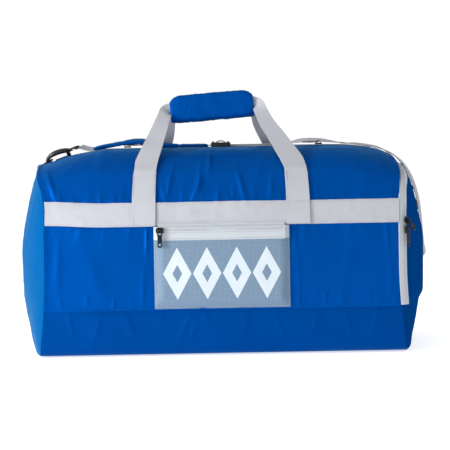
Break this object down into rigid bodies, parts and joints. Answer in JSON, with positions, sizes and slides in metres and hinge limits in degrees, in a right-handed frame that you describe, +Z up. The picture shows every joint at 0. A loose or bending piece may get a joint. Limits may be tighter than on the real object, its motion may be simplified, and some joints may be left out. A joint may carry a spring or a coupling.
{
  "type": "duffel bag",
  "caption": "Large soft duffel bag with a wrapped carrying grip, mesh front pocket, full-length top zip, zipped end pocket and a detachable shoulder strap.",
  "frame": {"origin": "centre of the flat base, on the floor", "axes": "+X along the bag towards the end with the zipped pocket, front (mesh pocket) towards -Y, +Z up"},
  "size_m": [0.7027, 0.3264, 0.439],
  "materials": {
    "blue_fabric": "satin woven polyester",
    "white_webbing": "matt woven webbing",
    "white_zip_tape": "matt woven tape",
    "black_zip_tape": "matt woven tape",
    "pocket_mesh": "fine knitted mesh",
    "lining": "matt lining",
    "black_plastic": "moulded satin black",
    "black_metal": "black lacquered"
  },
  "bodies": {
    "root": {"base_board": "lining", "bottom_panel": "blue_fabric", "end_flap_hinge_strip": "blue_fabric", "end_pocket_divider": "lining", "end_zip_inner_tape_rear": "white_zip_tape", "end_zip_outer_tape": "white_zip_tape", "end_zip_teeth": "white_zip_tape", "front_band": "white_webbing", "front_handle_sewn_legs": "white_webbing", "front_panel": "blue_fabric", "front_top_corners": "blue_fabric", "left_d_ring_tab": "white_webbing", "left_end_panel": "blue_fabric", "left_hook_eye": "black_plastic", "main_zip_rear_tape": "black_zip_tape", "main_zip_rear_teeth": "black_zip_tape", "pocket_mesh": "pocket_mesh", "pocket_zip_lower_tape": "white_zip_tape", "pocket_zip_teeth": "white_zip_tape", "pocket_zip_upper_tape": "white_zip_tape", "rear_band": "white_webbing", "rear_handle_sewn_legs": "white_webbing", "rear_panel": "blue_fabric", "rear_top_panel": "blue_fabric", "right_d_ring_tab": "white_webbing", "right_end_lower_panel": "blue_fabric", "right_end_panel": "blue_fabric", "right_hook_eye": "black_plastic", "shoulder_pad": "blue_fabric", "shoulder_strap_tail": "white_webbing", "shoulder_strap_webbing": "white_webbing", "strap_left_webbing": "white_webbing"},
    "front_top_flap": {"front_top_flap": "blue_fabric", "main_zip_front_tape": "black_zip_tape", "main_zip_front_teeth": "black_zip_tape"},
    "main_slider_left": {"main_zip_left_slider": "black_metal"},
    "main_puller_left": {"main_zip_left_puller": "black_metal"},
    "main_slider_right": {"main_zip_right_slider": "black_metal"},
    "main_puller_right": {"main_zip_right_puller": "black_metal"},
    "front_handle": {"front_handle_webbing": "white_webbing", "grip_front_leaf": "blue_fabric", "grip_hook_tape": "black_zip_tape"},
    "rear_handle": {"rear_handle_webbing": "white_webbing", "grip_rear_leaf": "blue_fabric", "grip_loop_tape": "black_zip_tape"},
    "pocket_slider": {"pocket_zip_slider": "black_metal"},
    "pocket_puller": {"pocket_zip_puller": "black_metal"},
    "end_flap": {"end_flap": "blue_fabric", "end_zip_inner_tape_front": "white_zip_tape"},
    "end_slider_upper": {"end_zip_upper_slider": "black_metal"},
    "end_puller_upper": {"end_zip_upper_puller": "black_metal"},
    "end_slider_lower": {"end_zip_lower_slider": "black_metal"},
    "end_puller_lower": {"end_zip_lower_puller": "black_metal"},
    "adjuster": {"strap_adjuster": "black_plastic"},
    "left_ring": {"left_d_ring": "black_plastic"},
    "right_ring": {"right_d_ring": "black_plastic"},
    "left_hook": {"left_snap_hook": "black_plastic"},
    "left_gate": {"left_hook_gate": "black_plastic"},
    "right_hook": {"right_snap_hook": "black_plastic"},
    "right_gate": {"right_hook_gate": "black_plastic"}
  },
  "joints": [
    {"name": "front_handle_fold", "type": "hinge", "parent": "root", "child": "front_handle", "pos_m": [0, -0.1204, 0.3011], "axis": [1, 0, 0], "range_deg": [0, 170]},
    {"name": "rear_handle_fold", "type": "hinge", "parent": "root", "child": "rear_handle", "pos_m": [0, 0.1204, 0.3011], "axis": [1, 0, 0], "range_deg": [-170, 0]},
    {"name": "front_top_flap_open", "type": "hinge", "parent": "root", "child": "front_top_flap", "pos_m": [0, -0.117, 0.298], "axis": [1, 0, 0], "range_deg": [0, 70]},
    {"name": "main_zip_left_slide", "type": "slide", "parent": "front_top_flap", "child": "main_slider_left", "axis": [1, 0, 0], "range_m": [-0.012, 0.125]},
    {"name": "main_zip_left_puller_flip", "type": "hinge", "parent": "main_slider_left", "child": "main_puller_left", "pos_m": [-0.16, -0.002, 0.3459], "axis": [0, -1, 0], "range_deg": [0, 170]},
    {"name": "main_zip_right_slide", "type": "slide", "parent": "front_top_flap", "child": "main_slider_right", "axis": [1, 0, 0], "range_m": [-0.15, 0.008]},
    {"name": "main_zip_right_puller_flip", "type": "hinge", "parent": "main_slider_right", "child": "main_puller_right", "pos_m": [0.17, -0.002, 0.3459], "axis": [0, 1, 0], "range_deg": [0, 170]},
    {"name": "pocket_zip_slide", "type": "slide", "parent": "root", "child": "pocket_slider", "axis": [1, 0, 0], "range_m": [0, 0.185]},
    {"name": "pocket_zip_puller_lift", "type": "hinge", "parent": "pocket_slider", "child": "pocket_puller", "pos_m": [-0.099, -0.16728, 0.205], "axis": [-1, 0, 0], "range_deg": [0, 150]},
    {"name": "end_flap_fold", "type": "hinge", "parent": "root", "child": "end_flap", "pos_m": [0.327, -0.14108, 0.084], "axis": [0.0235, 0.521, 0.8532], "range_deg": [0, 70]},
    {"name": "end_zip_upper_slide", "type": "slide", "parent": "end_flap", "child": "end_slider_upper", "axis": [0, 0, 1], "range_m": [0, 0.02]},
    {"name": "end_zip_upper_puller_lift", "type": "hinge", "parent": "end_slider_upper", "child": "end_puller_upper", "pos_m": [0.30125, -0.1554, 0.214], "axis": [-0.4559, -0.4495, -0.7682], "range_deg": [0, 150]},
    {"name": "end_zip_lower_slide", "type": "slide", "parent": "end_flap", "child": "end_slider_lower", "axis": [0, 0, 1], "range_m": [-0.035, 0]},
    {"name": "end_zip_lower_puller_lift", "type": "hinge", "parent": "end_slider_lower", "child": "end_puller_lower", "pos_m": [0.30125, -0.1554, 0.199], "axis": [-0.7121, -0.7021, 0], "range_deg": [0, 150]},
    {"name": "adjuster_slide", "type": "slide", "parent": "root", "child": "adjuster", "axis": [1, 0, 0], "range_m": [0, 0.075]},
    {"name": "left_ring_swing", "type": "hinge", "parent": "root", "child": "left_ring", "pos_m": [-0.3172, 0.0458, 0.3106], "axis": [0, 1, 0], "range_deg": [-1.2, 2]},
    {"name": "right_ring_swing", "type": "hinge", "parent": "root", "child": "right_ring", "pos_m": [0.3303, 0.074, 0.2773], "axis": [0, 1, 0], "range_deg": [-2, 2]},
    {"name": "left_hook_swivel", "type": "hinge", "parent": "root", "child": "left_hook", "pos_m": [-0.2604, 0.041, 0.342], "axis": [-0.945, 0, -0.327], "range_deg": [-4, 4]},
    {"name": "left_gate_press", "type": "hinge", "parent": "left_hook", "child": "left_gate", "pos_m": [-0.26774, 0.04908, 0.33081], "axis": [-0.2299, 0.7111, 0.6644], "range_deg": [0, 14], "stiffness_Nm_per_rad": 0.02, "springref_deg": -5.73},
    {"name": "right_hook_swivel", "type": "hinge", "parent": "root", "child": "right_hook", "pos_m": [0.3455, 0.074, 0.214], "axis": [-0.33, 0, 0.944], "range_deg": [-4, 4]},
    {"name": "right_gate_press", "type": "hinge", "parent": "right_hook", "child": "right_gate", "pos_m": [0.35286, 0.074, 0.2278], "axis": [0, -1, 0], "range_deg": [0, 14], "stiffness_Nm_per_rad": 0.02, "springref_deg": -5.73}
  ],
  "couplings": [
    {"joint": "rear_handle_fold", "follows": "front_handle_fold", "ratio": -1},
    {"joint": "front_top_flap_open", "follows": "front_handle_fold", "ratio": 0.4117}
  ]
}
